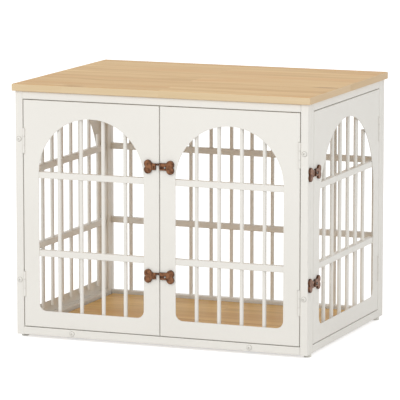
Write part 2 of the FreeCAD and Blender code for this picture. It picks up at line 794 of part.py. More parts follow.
# ------------------------------------------------------------------- fasteners
def button_bolt(name, shank_length):
    """A button head bolt along +Y, with the underside of its head at Y = 0."""
    dome_radius = "((bolt_head_radius ^ 2 + bolt_head_height ^ 2) / (2 * bolt_head_height))"
    dome = document.addObject("Part::Sphere", f"{name}_dome")
    bind(dome, "Radius", dome_radius)
    place(dome, "0", f"{dome_radius} - bolt_head_height", "0")
    outside = f"-bolt_head_height - {PAST}"
    blank = rod(f"{name}_blank", "bolt_head_radius", f"bolt_head_height + {PAST}",
                "0", outside, "0", ALONG_Y)
    head = document.addObject("Part::Common", f"{name}_head")
    head.Base = dome
    head.Tool = blank
    socket = document.addObject("Part::Prism", f"{name}_socket")
    socket.Polygon = 6
    bind(socket, "Circumradius", "bolt_socket / sqrt(3)")
    bind(socket, "Height", f"bolt_socket_depth + {PAST}")
    place(socket, "0", outside, "0", ALONG_Y)
    drilled = cut(f"{name}_drilled_head", head, socket)
    shank = rod(f"{name}_shank", "bolt_radius", shank_length, "0", "0", "0", ALONG_Y)
    return fused(name, [drilled, shank])


def rivet_nut():
    """A threaded insert in the wall of a stile, with its pressed collar behind the wall."""
    sleeve = rod("rivet_nut_sleeve", "nut_radius", "nut_length", "0", "0", "0", ALONG_Y)
    flange = rod("rivet_nut_flange", "nut_flange_radius", "nut_flange_thickness",
                 "0", "tube_wall + rivet_play", "0", ALONG_Y)
    bore = drill("rivet_nut_bore", "bolt_radius + rivet_play", "nut_length", "0", "0", "0", ALONG_Y)
    return cut("rivet_nut", fused("rivet_nut_solid", [sleeve, flange]), bore)


def hex_nut():
    outer = document.addObject("Part::Prism", "hex_nut_outer")
    outer.Polygon = 6
    bind(outer, "Circumradius", "hex_nut_size / sqrt(3)")
    bind(outer, "Height", "hex_nut_height")
    place(outer, "0", "0", "0", ALONG_Y)
    bore = drill("hex_nut_bore", "bolt_radius + rivet_play", "hex_nut_height", "0", "0", "0", ALONG_Y)
    return cut("hex_nut", outer, bore)


def wood_screw():
    """A screw along +Z, with the top of its head at Z = 0."""
    shank = rod("wood_screw_shank", "wood_screw_radius", "wood_screw_length", "0", "0", "0")
    head = rod("wood_screw_head", "wood_screw_head_radius", "wood_screw_head_height",
               "0", "0", "-wood_screw_head_height")
    return fused("wood_screw", [shank, head])


CORNERS = [(sx, sy) for sx in (-1, 1) for sy in (-1, 1)]


# ----------------------------------------------------------------- steel frame
TURNED = Rotation(Vector(0, 0, 1), 180)


def facing(sy):
    """Turn of a fastener drawn along +Y, so that it points into the cabinet."""
    return Rotation() if sy < 0 else TURNED


def end_frame(name, sy, rivets=()):
    """The welded front or back frame, drilled for its bolts and for any latch rivets."""
    y = f"({sy} * {POST_Y})"
    rail_length = DOORWAY_WIDTH
    tubes = [
        frame_tube(f"{name}_left_post", "frame_height", f"-{POST_X}", y, "foot_height", ALONG_Z),
        frame_tube(f"{name}_right_post", "frame_height", POST_X, y, "foot_height", ALONG_Z),
        frame_tube(f"{name}_top_rail", rail_length, f"-{rail_length} / 2", y, TOP_RAIL_Z, ALONG_X),
        frame_tube(f"{name}_bottom_rail", rail_length, f"-{rail_length} / 2", y, BOTTOM_RAIL_Z, ALONG_X),
    ]
    holes = []
    start = f"{y} - tube_size / 2"
    for height in ("upper_bolt_height", "lower_bolt_height"):
        for sx in (-1, 1):
            holes.append(drill(f"{name}_hole", "bolt_radius + bolt_play", "tube_size",
                               f"{sx} * {POST_X}", start, f"foot_height + {height}", ALONG_Y))
    for sx in (-1, 1):
        holes.append(drill(f"{name}_support_hole", "bolt_radius + bolt_play", "tube_size",
                           f"{sx} * support_spacing / 2", start, BOTTOM_RAIL_Z, ALONG_Y))
    for hole_y, hole_z in rivets:
        holes.append(drill(f"{name}_rivet_hole", "rivet_radius + rivet_play", "tube_wall",
                           "frame_width / 2 - tube_wall", hole_y, f"foot_height + {hole_z}", ALONG_X))
    sub_part(name, cut(f"{name}_tubes", group(f"{name}_weldment", tubes), group(f"{name}_holes", holes)))


def side_frame(name, sx):
    """A welded side frame, drilled for the rivet nuts."""
    x = f"({sx} * {POST_X})"
    rail_length = SIDE_OPENING
    tubes = [
        frame_tube(f"{name}_front_stile", "frame_height", x, f"-{STILE_Y}", "foot_height", ALONG_Z),
        frame_tube(f"{name}_rear_stile", "frame_height", x, STILE_Y, "foot_height", ALONG_Z),
        frame_tube(f"{name}_top_rail", rail_length, x, f"-{rail_length} / 2", TOP_RAIL_Z, ALONG_Y),
        frame_tube(f"{name}_bottom_rail", rail_length, x, f"-{rail_length} / 2", BOTTOM_RAIL_Z, ALONG_Y),
    ]
    holes = []
    for height in ("upper_bolt_height", "lower_bolt_height"):
        for sy in (-1, 1):
            outer_face = f"({sy} * (frame_depth / 2 - tube_size))"
            holes.append(drill(f"{name}_nut_hole", "nut_radius + rivet_play", "2 * tube_wall",
                               x, f"{outer_face} - tube_wall", f"foot_height + {height}", ALONG_Y))
    sub_part(name, cut(f"{name}_tubes", group(f"{name}_weldment", tubes), group(f"{name}_holes", holes)))


def end_caps():
    """Flush plastic caps in the upper and lower ends of the four corner posts."""
    side = f"({TUBE_INSIDE} - 2 * plug_play)"
    caps = []
    for sx, sy in CORNERS:
        x = f"{sx} * {POST_X}"
        y = f"{sy} * {POST_Y}"
        for end, z in (("low", "foot_height"), ("high", f"{STEEL_TOP} - end_cap_depth")):
            caps.append(box(f"cap_{end}", f"{x} - {side} / 2", f"{y} - {side} / 2", z,
                            side, side, "end_cap_depth"))
    sub_part("post_end_caps", group("end_cap_set", caps))


def feet():
    """Round glides whose square plugs sit in the lower ends of the side frame stiles."""
    side = f"({TUBE_INSIDE} - 2 * plug_play)"
    pieces = []
    for sx, sy in CORNERS:
        x = f"{sx} * {POST_X}"
        y = f"{sy} * {STILE_Y}"
        disc = rod("foot_disc", "foot_radius", "foot_height", x, y, "0")
        plug = box("foot_plug", f"{x} - {side} / 2", f"{y} - {side} / 2", "foot_height",
                   side, side, "end_cap_depth * 2")
        pieces.append(fused("foot", [disc, plug]))
    sub_part("feet", group("foot_set", pieces))


def frame_fasteners():
    """Bolts through the corner posts into rivet nuts in the side frame stiles."""
    bolt = button_bolt("frame_bolt", "tube_size + bolt_reach")
    nut = rivet_nut()
    bolts = []
    nuts = []
    for height in ("upper_bolt_height", "lower_bolt_height"):
        z = f"foot_height + {height}"
        for sx, sy in CORNERS:
            x = f"{sx} * {POST_X}"
            bolt_y = f"{sy} * frame_depth / 2"
            nut_y = f"{sy} * (frame_depth / 2 - tube_size)"
            bolts.append(copy_of("frame_bolt_copy", bolt, x, bolt_y, z, facing(sy)))
            nuts.append(copy_of("rivet_nut_copy", nut, x, nut_y, z, facing(sy)))
    sub_part("frame_bolts", group("frame_bolt_set", bolts))
    sub_part("rivet_nuts", group("rivet_nut_set", nuts))


# ------------------------------------------------------------ floor and its supports
def floor_supports():
    """Flat steel strips from front to back, with upturned tabs bolted to the bottom rails."""
    span = "(frame_depth - 2 * tube_size)"
    strips = []
    bolt = button_bolt("support_bolt", "tube_size + support_thickness + hex_nut_height")
    nut = hex_nut()
    bolts = []
    nuts = []
    for sx in (-1, 1):
        x = f"({sx} * support_spacing / 2)"
        pieces = [box("support_strip", f"{x} - support_width / 2", f"-{span} / 2", "foot_height",
                      "support_width", span, "support_thickness")]
        holes = []
        for sy, tab_y in ((-1, f"-{span} / 2"), (1, f"{span} / 2 - support_thickness")):
            pieces.append(box("support_tab", f"{x} - support_width / 2", tab_y, "foot_height",
                              "support_width", "support_thickness", "support_tab_height"))
            holes.append(drill("support_hole", "bolt_radius + bolt_play", "support_thickness",
                               x, tab_y, BOTTOM_RAIL_Z, ALONG_Y))
            bolts.append(copy_of("support_bolt_copy", bolt, x, f"{sy} * frame_depth / 2",
                                 BOTTOM_RAIL_Z, facing(sy)))
            nuts.append(copy_of("support_nut_copy", nut, x, f"{sy} * ({span} / 2 - support_thickness)",
                                BOTTOM_RAIL_Z, facing(sy)))
        strips.append(cut("support", fused("support_solid", pieces), group("support_holes", holes)))
    sub_part("floor_supports", group("floor_support_pair", strips))
    sub_part("floor_support_bolts", group("support_bolt_set", bolts))
    sub_part("floor_support_nuts", group("support_nut_set", nuts))


def floor_board():
    length = f"({DOORWAY_WIDTH} - 2 * floor_margin)"
    width = "(frame_depth - 2 * tube_size - 2 * floor_margin)"
    body = document.addObject("PartDesign::Body", "floor_board_body")
    outline = sketch_on(body, "floor_outline")
    draw_rectangle(outline, f"-{length} / 2", f"-{width} / 2", f"{length} / 2", f"{width} / 2")
    pad(body, outline, "floor_pad", "floor_thickness")
    sub_part("floor_board", place(body, z=FLOOR_BOTTOM))


# ------------------------------------------------------------------- top board
SCREW_X = f"({DOORWAY_WIDTH} / 2 - plate_hole_inset)"
SCREW_Y = "(frame_depth / 2 - tube_size - plate_hole_inset)"


def top_board():
    """The wood top, with rounded edges and blind holes for its screws."""
    half_length = "(frame_width / 2 + top_overhang)"
    half_width = "(frame_depth / 2 + top_overhang)"
    body = document.addObject("PartDesign::Body", "top_board_body")
    outline = sketch_on(body, "top_outline")
    draw_rectangle(outline, f"-{half_length}", f"-{half_width}", half_length, half_width)
    pad(body, outline, "top_pad", "top_thickness")
    fillet(body, "top_rounding", "top_edge_round", lambda edge: True)
    holes = sketch_on(body, "top_holes")
    for sx, sy in CORNERS:
        draw_circle(holes, f"{sx} * {SCREW_X}", f"{sy} * {SCREW_Y}", "wood_screw_radius + rivet_play")
    pocket(body, holes, "top_drilling", "wood_screw_length - plate_thickness + plug_play", backwards=True)
    sub_part("top_board", place(body, z=STEEL_TOP))


def corner_plates():
    """Flat plates welded into the upper corners, flush with the tubes, screwed to the top."""
    screw = wood_screw()
    plates = []
    screws = []
    z = f"({STEEL_TOP} - plate_thickness)"
    for sx, sy in CORNERS:
        x = f"{sx} * {SCREW_X}"
        y = f"{sy} * {SCREW_Y}"
        outer_x = f"({sx} * {DOORWAY_WIDTH} / 2)"
        outer_y = f"({sy} * (frame_depth / 2 - tube_size))"
        left = f"{outer_x} - plate_side" if sx > 0 else outer_x
        near = f"{outer_y} - plate_side" if sy > 0 else outer_y
        blank = box("plate_blank", left, near, z, "plate_side", "plate_side", "plate_thickness")
        hole = drill("plate_hole", "wood_screw_radius + bolt_play", "plate_thickness", x, y, z)
        plates.append(cut("corner_plate", blank, hole))
        screws.append(copy_of("wood_screw_copy", screw, x, y, z))
    sub_part("top_board_plates", group("corner_plate_set", plates))
    sub_part("top_board_screws", group("wood_screw_set", screws))


# -------------------------------------------------------------------- assembly
def back_grille():
    """Bars and rails that fill the back frame, from tube to tube."""
    places = bar_places(BACK_BARS, DOORWAY_WIDTH, "back_bar_edge")
    bars = [(x, "tube_size", "frame_height - tube_size") for x in places]
    bars_and_rails("back", BACK_WALL, bars, DOORWAY_WIDTH)


end_frame("front_frame", -1, rivet_points(SIDE_GAP_CENTRE, -1))
end_frame("back_frame", 1)
side_frame("left_side_frame", -1)
side_frame("right_side_frame", 1)
end_caps()
feet()
frame_fasteners()
floor_supports()
floor_board()
top_board()
corner_plates()
back_grille()

arched_wall("left_side", LEFT_WALL, SIDE_OPENING, "tube_size", OPENING_HEIGHT,
            "left_stile_margin", "left_rail_margin", LEFT_BARS, "left_bar_edge")
arched_wall("front_left_door", FRONT_LEFT_WALL, FRONT_DOOR_WIDTH, DOOR_BOTTOM, DOOR_HEIGHT,
            "door_margin", "door_margin", FRONT_BARS, "front_bar_edge", -1,
            rivet_points(FRONT_DOOR_CENTRE, -1))
arched_wall("front_right_door", FRONT_RIGHT_WALL, FRONT_DOOR_WIDTH, DOOR_BOTTOM, DOOR_HEIGHT,
            "door_margin", "door_margin", FRONT_BARS, "front_bar_edge", 1,
            rivet_points(f"(-{FRONT_DOOR_CENTRE})", 1),
            keeper_screw_points(f"(-{FRONT_DOOR_CENTRE})"))
arched_wall("side_door", RIGHT_WALL, SIDE_DOOR_WIDTH, DOOR_BOTTOM, DOOR_HEIGHT,
            "door_margin", "door_margin", SIDE_BARS, "side_bar_edge", 1,
            rivet_points(SIDE_GAP_CENTRE, 1), keeper_screw_points(SIDE_GAP_CENTRE))

LEFT_LEAVES = {"frame_leaves": frame_leaf(), "door_leaves": door_leaf(), "pins": hinge_pin()}
RIGHT_LEAVES = {piece: mirrored(f"{piece}_mirrored", leaf) for piece, leaf in LEFT_LEAVES.items()}
hinge_pair("front_left_hinge", FRONT_LEFT_WALL, FRONT_DOOR_WIDTH, -1, LEFT_LEAVES)
hinge_pair("front_right_hinge", FRONT_RIGHT_WALL, FRONT_DOOR_WIDTH, 1, RIGHT_LEAVES)
hinge_pair("side_hinge", RIGHT_WALL, SIDE_DOOR_WIDTH, 1, RIGHT_LEAVES)

BOLT_GUIDE = bolt_guide()
BOLT_KEEPER = bolt_keeper()
SLIDING_BOLT = sliding_bolt()
SHEET_RIVET = latch_rivet("sheet_rivet", "sheet_thickness")
TUBE_RIVET = latch_rivet("tube_rivet", "tube_wall")
latch_castings("front_latch_guide", FRONT_WALL, "0", BOLT_GUIDE, SHEET_RIVET, -1)
latch_castings("front_latch_keeper", FRONT_WALL, "0", BOLT_KEEPER, SHEET_RIVET, 1)
latch_castings("side_latch_guide", RIGHT_WALL, SIDE_GAP_CENTRE, BOLT_GUIDE, TUBE_RIVET, -1)
latch_castings("side_latch_keeper", RIGHT_WALL, SIDE_GAP_CENTRE, BOLT_KEEPER, SHEET_RIVET, 1)
KEEPER_SCREW = keeper_screw()
keeper_screws("front_latch_keeper_screws", FRONT_WALL, "0", KEEPER_SCREW)
keeper_screws("side_latch_keeper_screws", RIGHT_WALL, SIDE_GAP_CENTRE, KEEPER_SCREW)
latch_bolts("front", FRONT_WALL, "0", SLIDING_BOLT)
latch_bolts("side", RIGHT_WALL, SIDE_GAP_CENTRE, SLIDING_BOLT)

document.recompute()


# ---------------------------------------------------------------------- export
def failed_objects():
    return [item.Name for item in document.Objects if {"Invalid", "Error"} & set(item.State)]


def check_shapes():
    failures = failed_objects()
    if failures:
        raise RuntimeError(f"objects that failed: {failures}")
    for item in SUB_PARTS:
        shape = item.Shape
        if shape.isNull() or not shape.isValid() or not shape.Solids:
            raise RuntimeError(f"{item.Label} has no valid solid")


check_shapes()
os.makedirs("parts", exist_ok=True)
for item in SUB_PARTS:
    item.Shape.exportStep(os.path.join("parts", f"{item.Label}.step"))
    print(item.Label, len(item.Shape.Solids), round(item.Shape.Volume))
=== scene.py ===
"""Looks of a dog crate end table: off-white steel cabinet, oak boards, copper bone latches."""

import json
import math

import bmesh
import bpy
from mathutils import Euler, Matrix, Vector


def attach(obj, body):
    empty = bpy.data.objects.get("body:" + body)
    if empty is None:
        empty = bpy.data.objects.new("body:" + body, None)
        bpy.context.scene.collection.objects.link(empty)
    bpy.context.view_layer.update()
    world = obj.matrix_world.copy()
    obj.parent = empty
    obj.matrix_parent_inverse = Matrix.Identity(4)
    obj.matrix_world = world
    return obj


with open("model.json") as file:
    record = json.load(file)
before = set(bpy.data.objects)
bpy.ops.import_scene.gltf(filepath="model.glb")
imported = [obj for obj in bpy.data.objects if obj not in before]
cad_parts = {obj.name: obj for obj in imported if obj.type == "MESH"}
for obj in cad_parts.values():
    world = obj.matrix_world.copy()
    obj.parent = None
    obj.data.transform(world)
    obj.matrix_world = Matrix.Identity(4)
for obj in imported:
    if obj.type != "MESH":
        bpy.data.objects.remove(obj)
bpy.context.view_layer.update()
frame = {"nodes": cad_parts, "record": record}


# ------------------------------------------------------------------- node tools
def feed(tree, socket, value):
    """Give a socket a link, where the value is another node's output, or a plain value."""
    if isinstance(value, bpy.types.NodeSocket):
        tree.links.new(value, socket)
    else:
        socket.default_value = value


def feed_in_turn(tree, sockets, values):
    """Feed sockets in their own order."""
    for socket, value in zip(sockets, values):
        feed(tree, socket, value)


def feed_by_name(tree, node, values):
    """Feed a node's sockets by name. An underscore in a name stands for a space."""
    for label, value in values.items():
        feed(tree, node.inputs[label.replace("_", " ")], value)


def add_node(tree, kind, settings=None, **sockets):
    """A node with its settings, each named socket given a value or a link."""
    node = tree.nodes.new(f"ShaderNode{kind}")
    for name, value in (settings or {}).items():
        setattr(node, name, value)
    feed_by_name(tree, node, sockets)
    return node


def calculate(tree, operation, first, second=0.0, third=0.0):
    """The result of a Math node."""
    node = add_node(tree, "Math", {"operation": operation})
    feed_in_turn(tree, node.inputs, (first, second, third))
    return node.outputs[0]


def combine(tree, operation, first, second):
    """The outputs of a Vector Math node on two vectors."""
    node = add_node(tree, "VectorMath", {"operation": operation})
    feed_in_turn(tree, node.inputs, (first, second))
    return node.outputs


def vector_of(tree, x, y, z):
    """A vector put together from its three parts."""
    return add_node(tree, "CombineXYZ", X=x, Y=y, Z=z).outputs[0]


def reach_along(tree, vector, axis):
    """How far a vector goes along an axis, either way."""
    part = add_node(tree, "SeparateXYZ", Vector=vector).outputs[axis]
    return calculate(tree, "ABSOLUTE", part)


def spread(tree, value, low, high, to_low=0.0, to_high=1.0):
    """A value's range stretched to another range, and held inside it."""
    node = add_node(tree, "MapRange", {"interpolation_type": "SMOOTHSTEP"}, Value=value,
                    From_Min=low, From_Max=high, To_Min=to_low, To_Max=to_high)
    return node.outputs["Result"]


def blend(tree, factor, first, second, mode="MIX"):
    """One colour blended with another by a factor."""
    node = add_node(tree, "Mix", {"data_type": "RGBA", "blend_type": mode}, Factor=factor,
                    A=first, B=second)
    return node.outputs["Result"]


def lay_over(tree, base, mask, amount, colour):
    """A colour laid over another, up to an amount, where a mask is on."""
    return blend(tree, calculate(tree, "MULTIPLY", mask, amount), base, colour)


def weighted_sum(tree, *parts):
    """The sum of values, each given with its weight."""
    total = 0.0
    for value, weight in parts:
        total = calculate(tree, "MULTIPLY_ADD", value, weight, total)
    return total


def noise(tree, vector, scale, detail=2.0, roughness=0.5):
    """Soft noise, with about as many changes in a metre as its scale."""
    node = add_node(tree, "TexNoise", Vector=vector, Scale=scale, Detail=detail,
                    Roughness=roughness)
    return node.outputs["Fac"]


def fibres(tree, vector, along, across, detail, roughness=0.5):
    """Noise drawn out along X, with its changes in a metre along the grain and across it."""
    drawn = combine(tree, "MULTIPLY", vector, (along, across, across))[0]
    return noise(tree, drawn, 1.0, detail, roughness)


# -------------------------------------------------------------- shared finishes
def socket_type(value):
    """The socket type that fits a default value."""
    if isinstance(value, (int, float)):
        return "NodeSocketFloat"
    return "NodeSocketColor" if len(value) == 4 else "NodeSocketVector"


def new_group(name, inputs, outputs):
    """A shader node group with named inputs, each with its default, and named outputs."""
    tree = bpy.data.node_groups.new(name, "ShaderNodeTree")
    for label, value in inputs.items():
        entry = tree.interface.new_socket(label, in_out="INPUT", socket_type=socket_type(value))
        entry.default_value = value
    for label, kind in outputs.items():
        tree.interface.new_socket(label, in_out="OUTPUT", socket_type=f"NodeSocket{kind}")
    given = tree.nodes.new("NodeGroupInput").outputs
    result = tree.nodes.new("NodeGroupOutput").inputs
    return tree, given, result


def make_soft_edges():
    """Rounds the shading of sharp edges, and marks where they are."""
    tree, given, result = new_group(
        "soft_edges",
        {"Radius": 0.001},
        {"Normal": "Vector", "Edge": "Float"})
    rounded = add_node(tree, "Bevel", {"samples": 4}, Radius=given["Radius"]).outputs[0]
    flat = add_node(tree, "NewGeometry").outputs["Normal"]
    agreement = combine(tree, "DOT_PRODUCT", rounded, flat)["Value"]
    feed(tree, result["Normal"], rounded)
    feed(tree, result["Edge"], spread(tree, agreement, 0.995, 0.80))
    return tree


def make_orange_peel():
    """The fine dimples and slow drift of tone of a baked powder coat."""
    tree, given, result = new_group(
        "orange_peel",
        {"Vector": (0.0, 0.0, 0.0), "Cell": 650.0, "Drift": 3.0},
        {"Height": "Float", "Tone": "Float", "Gloss": "Float"})
    place = given["Vector"]
    dimples = noise(tree, place, given["Cell"], 1.5, 0.45)
    grit = noise(tree, place, calculate(tree, "MULTIPLY", given["Cell"], 4.0), 1.0)
    patches = noise(tree, place, calculate(tree, "MULTIPLY", given["Drift"], 14.0), 4.0)
    feed(tree, result["Height"], calculate(tree, "MULTIPLY_ADD", grit, 0.18, dimples))
    feed(tree, result["Tone"], noise(tree, place, given["Drift"], 3.0))
    feed(tree, result["Gloss"], patches)
    return tree


def make_oak():
    """Laminated oak staves along X: stave tints, broad figure, fine grain, pores, a few knots."""
    tree, given, result = new_group(
        "oak_grain",
        {"Vector": (0.0, 0.0, 0.0), "Pale": (0.7, 0.5, 0.3, 1.0), "Deep": (0.5, 0.3, 0.15, 1.0),
         "Warm": (0.7, 0.4, 0.2, 1.0), "Knot": (0.3, 0.15, 0.06, 1.0),
         "Stave": 0.105, "Stave Length": 3.0, "Contrast": 0.5},
        {"Color": "Color", "Height": "Float", "Pore": "Float"})
    staves = add_node(tree, "TexBrick", {"offset": 0.37, "squash": 1.0}, Vector=given["Vector"],
                      Scale=1.0, Color1=(0, 0, 0, 1), Color2=(1, 1, 1, 1),
                      Mortar=(0.5, 0.5, 0.5, 1), Mortar_Size=0.0,
                      Brick_Width=given["Stave Length"], Row_Height=given["Stave"])
    tint = add_node(tree, "SeparateColor", Color=staves.outputs["Color"]).outputs[0]

    # Each stave takes its grain from another part of the pattern.
    shift = vector_of(tree, calculate(tree, "MULTIPLY", tint, 7.0),
                      calculate(tree, "MULTIPLY", tint, 3.0), 0.0)
    place = combine(tree, "ADD", given["Vector"], shift)[0]

    # A few of the cells hold a knot, and the grain bends round it.
    cells = combine(tree, "MULTIPLY", place, (4.2, 11.0, 4.0))[0]
    spots = add_node(tree, "TexVoronoi", {"feature": "F1"}, Scale=1.0, Vector=cells).outputs
    chance = add_node(tree, "SeparateColor", Color=spots["Color"]).outputs[0]
    chosen = spread(tree, chance, 0.60, 0.64)
    knot = calculate(tree, "MULTIPLY", spread(tree, spots["Distance"], 0.24, 0.04), chosen)
    bend = calculate(tree, "MULTIPLY", spread(tree, spots["Distance"], 0.5, 0.05), chosen)
    pull = vector_of(tree, 0.0, calculate(tree, "MULTIPLY", bend, 0.03), 0.0)
    bent = combine(tree, "ADD", place, pull)[0]

    figure = spread(tree, fibres(tree, bent, 1.5, 21.0, 4.0, 0.55), 0.36, 0.64)
    bands = spread(tree, fibres(tree, bent, 2.4, 75.0, 4.0, 0.6), 0.34, 0.66)
    streaks = spread(tree, fibres(tree, bent, 4.0, 260.0, 3.0, 0.6), 0.3, 0.7)
    pore = spread(tree, fibres(tree, bent, 26.0, 1500.0, 2.0), 0.62, 0.74)
    drift = spread(tree, fibres(tree, bent, 1.7, 9.0, 2.0), 0.48, 0.72)
    grain = weighted_sum(tree, (figure, 0.42), (bands, 0.34), (streaks, 0.24))
    shade = weighted_sum(tree, (tint, 0.26), (grain, 0.74))

    wood = lay_over(tree, given["Pale"], shade, given["Contrast"], given["Deep"])
    wood = lay_over(tree, wood, drift, 0.75, given["Warm"])
    wood = lay_over(tree, wood, knot, 0.7, given["Knot"])
    wood = lay_over(tree, wood, pore, 0.25, given["Deep"])
    feed(tree, result["Color"], wood)
    feed(tree, result["Height"], calculate(tree, "MULTIPLY_ADD", pore, -0.6, streaks))
    feed(tree, result["Pore"], pore)
    return tree


def make_patina():
    """Mottled plating, with darker blotches and fine tumbling marks."""
    tree, given, result = new_group(
        "patina",
        {"Vector": (0.0, 0.0, 0.0), "Bright": (0.5, 0.3, 0.2, 1.0),
         "Dark": (0.1, 0.05, 0.03, 1.0)},
        {"Color": "Color", "Height": "Float", "Gloss": "Float"})
    blotch = noise(tree, given["Vector"], 140.0, 4.0, 0.6)
    fine = noise(tree, given["Vector"], 1400.0, 2.0)
    amount = spread(tree, calculate(tree, "MULTIPLY_ADD", fine, 0.25, blotch), 0.5, 0.85)
    feed(tree, result["Color"], blend(tree, amount, given["Bright"], given["Dark"]))
    feed(tree, result["Height"], fine)
    feed(tree, result["Gloss"], blotch)
    return tree


SOFT_EDGES = make_soft_edges()
ORANGE_PEEL = make_orange_peel()
OAK = make_oak()
PATINA = make_patina()


# -------------------------------------------------------------------- materials
def use_group(tree, group, **sockets):
    """The outputs of a node group placed in a material with its own values."""
    node = tree.nodes.new("ShaderNodeGroup")
    node.node_tree = group
    feed_by_name(tree, node, sockets)
    return node.outputs


def new_material(name, edge_radius):
    """A material with its Principled shader, its Object coordinates and its rounded edges."""
    material = bpy.data.materials.new(name)
    material.use_nodes = True
    tree = material.node_tree
    tree.nodes.clear()
    shader = tree.nodes.new("ShaderNodeBsdfPrincipled")
    output = tree.nodes.new("ShaderNodeOutputMaterial")
    tree.links.new(shader.outputs[0], output.inputs["Surface"])
    at = tree.nodes.new("ShaderNodeTexCoord").outputs
    edges = use_group(tree, SOFT_EDGES, Radius=edge_radius)
    return material, tree, shader, at, edges


def mottled(tree, gloss, low, high):
    """Roughness that wanders between two values."""
    return spread(tree, gloss, 0.3, 0.7, low, high)


def set_surface(tree, shader, colour, roughness, height, depth, normal):
    """Colour, roughness, and a bump of real depth in metres on top of the rounded edges."""
    feed(tree, shader.inputs["Base Color"], colour)
    feed(tree, shader.inputs["Roughness"], roughness)
    bump = add_node(tree, "Bump", Height=height, Distance=depth, Normal=normal)
    tree.links.new(bump.outputs[0], shader.inputs["Normal"])


def powder_coat(name, colour, shade, edge, peel=0.00006, roughness=(0.42, 0.52), painted_shade=0.0):
    """Baked paint. Sharp edges take the edge tone: a painted highlight where it is paler than the
    paint, painted shade where it is darker. Painted shade, if any, lies on what turns away from
    Y, as in a bolt head's socket and round its dome.
    """
    material, tree, shader, at, edges = new_material(name, 0.0012)
    skin = use_group(tree, ORANGE_PEEL, Vector=at["Object"])
    paint = blend(tree, spread(tree, skin["Tone"], 0.3, 0.7), colour, shade)
    # Sharp edges are laid over with the edge tone: a painted highlight on the white paint,
    # painted shade round the bolt heads and in their sockets.
    paint = lay_over(tree, paint, edges["Edge"], 0.5, edge)
    if painted_shade:
        # Painted shade: faces that turn away from Y, such as the slopes of a bolt head's dome,
        # are darkened towards the edge tone.
        painted_shade_mask = spread(tree, reach_along(tree, at["Normal"], "Y"), 0.93, 0.62)
        paint = lay_over(tree, paint, painted_shade_mask, painted_shade, edge)
    shader.inputs["IOR"].default_value = 1.48
    shader.inputs["Specular IOR Level"].default_value = 0.34
    set_surface(tree, shader, paint, mottled(tree, skin["Gloss"], *roughness),
                skin["Height"], peel, edges["Normal"])
    return material


def oak_board(name, pale, deep, warm, knot, edge_pale, edge_deep, contrast):
    """Staved oak on the faces, and a plain edge band, whose grain runs along each edge."""
    material, tree, shader, at, edges = new_material(name, 0.0008)
    upright = reach_along(tree, at["Normal"], "Z")
    on_face = spread(tree, upright, 0.55, 0.8)
    on_end = calculate(tree, "GREATER_THAN", reach_along(tree, at["Normal"], "X"), 0.6)
    place = add_node(tree, "SeparateXYZ", Vector=at["Object"]).outputs
    band_way = add_node(tree, "Mix", {"data_type": "VECTOR"}, Factor=on_end,
                        A=vector_of(tree, place["X"], place["Z"], place["Y"]),
                        B=vector_of(tree, place["Y"], place["Z"], place["X"]))
    face = use_group(tree, OAK, Vector=at["Object"], Pale=pale, Deep=deep, Warm=warm, Knot=knot,
                     Contrast=contrast)
    band = use_group(tree, OAK, Vector=band_way.outputs["Result"], Pale=edge_pale,
                     Deep=edge_deep, Warm=edge_deep, Knot=edge_deep, Stave=0.5,
                     Contrast=contrast)
    # The bands of the two short edges are a little deeper in tone.
    edge_band = blend(tree, on_end, band["Color"], (0.967, 0.918, 0.889, 1), "MULTIPLY")
    wood = blend(tree, on_face, edge_band, face["Color"])
    # The rounded edge between a face and the edge band is painted a little paler than either: a
    # painted highlight.
    arris_highlight = calculate(tree, "MULTIPLY", spread(tree, upright, 0.05, 0.5),
                      spread(tree, upright, 0.995, 0.8))
    wood = lay_over(tree, wood, arris_highlight, 0.45, edge_pale)
    shader.inputs["Specular IOR Level"].default_value = 0.18
    set_surface(tree, shader, wood, spread(tree, face["Pore"], 0.0, 1.0, 0.44, 0.60),
                face["Height"], 0.00005, edges["Normal"])
    return material


def antique_copper(name, axis, level, bright, dark, edge_highlight):
    """Plating worn bright on the front faces. Side walls and sunk faces take the dark colour:
    partly patina in the hollows, partly painted shade.
    """
    material, tree, shader, at, edges = new_material(name, 0.0007)
    plating = use_group(tree, PATINA, Vector=at["Object"], Bright=bright, Dark=dark)
    # Patina and painted shade: side walls and sunk faces are darkened towards the dark colour.
    wall = spread(tree, reach_along(tree, at["Normal"], axis), 0.97, 0.55)
    sunk = spread(tree, reach_along(tree, at["Object"], axis), level - 0.0006, level - 0.0016)
    patina_and_shade = calculate(tree, "MAXIMUM", wall, sunk)
    colour = lay_over(tree, plating["Color"], patina_and_shade, 0.8, dark)
    # Sharp edges are made a little paler: a painted highlight.
    colour = lay_over(tree, colour, edges["Edge"], 0.25, edge_highlight)
    shader.inputs["Metallic"].default_value = 0.85
    set_surface(tree, shader, colour, mottled(tree, plating["Gloss"], 0.34, 0.5),
                plating["Height"], 0.00003, edges["Normal"])
    return material


def plated_steel(name, bright, dark):
    """Zinc plating, dulled in blotches."""
    material, tree, shader, at, edges = new_material(name, 0.0004)
    plating = use_group(tree, PATINA, Vector=at["Object"], Bright=bright, Dark=dark)
    shader.inputs["Metallic"].default_value = 1.0
    set_surface(tree, shader, plating["Color"], mottled(tree, plating["Gloss"], 0.28, 0.42),
                plating["Height"], 0.00002, edges["Normal"])
    return material


def moulded_plastic(name, colour, shade):
    """Plain plastic with a fine moulded skin."""
    material, tree, shader, at, edges = new_material(name, 0.0006)
    skin = use_group(tree, ORANGE_PEEL, Vector=at["Object"], Cell=1600.0, Drift=20.0)
    set_surface(tree, shader, blend(tree, skin["Tone"], colour, shade),
                mottled(tree, skin["Gloss"], 0.5, 0.62), skin["Height"], 0.00004,
                edges["Normal"])
    return material


# How far the latches' outer faces are from the cabinet's middle.
FRONT_LATCH_FACE = 0.2984
SIDE_LATCH_FACE = 0.3984
COPPER = {"bright": (0.235, 0.106, 0.052, 1), "dark": (0.060, 0.024, 0.013, 1),
          "edge_highlight": (0.33, 0.165, 0.09, 1)}

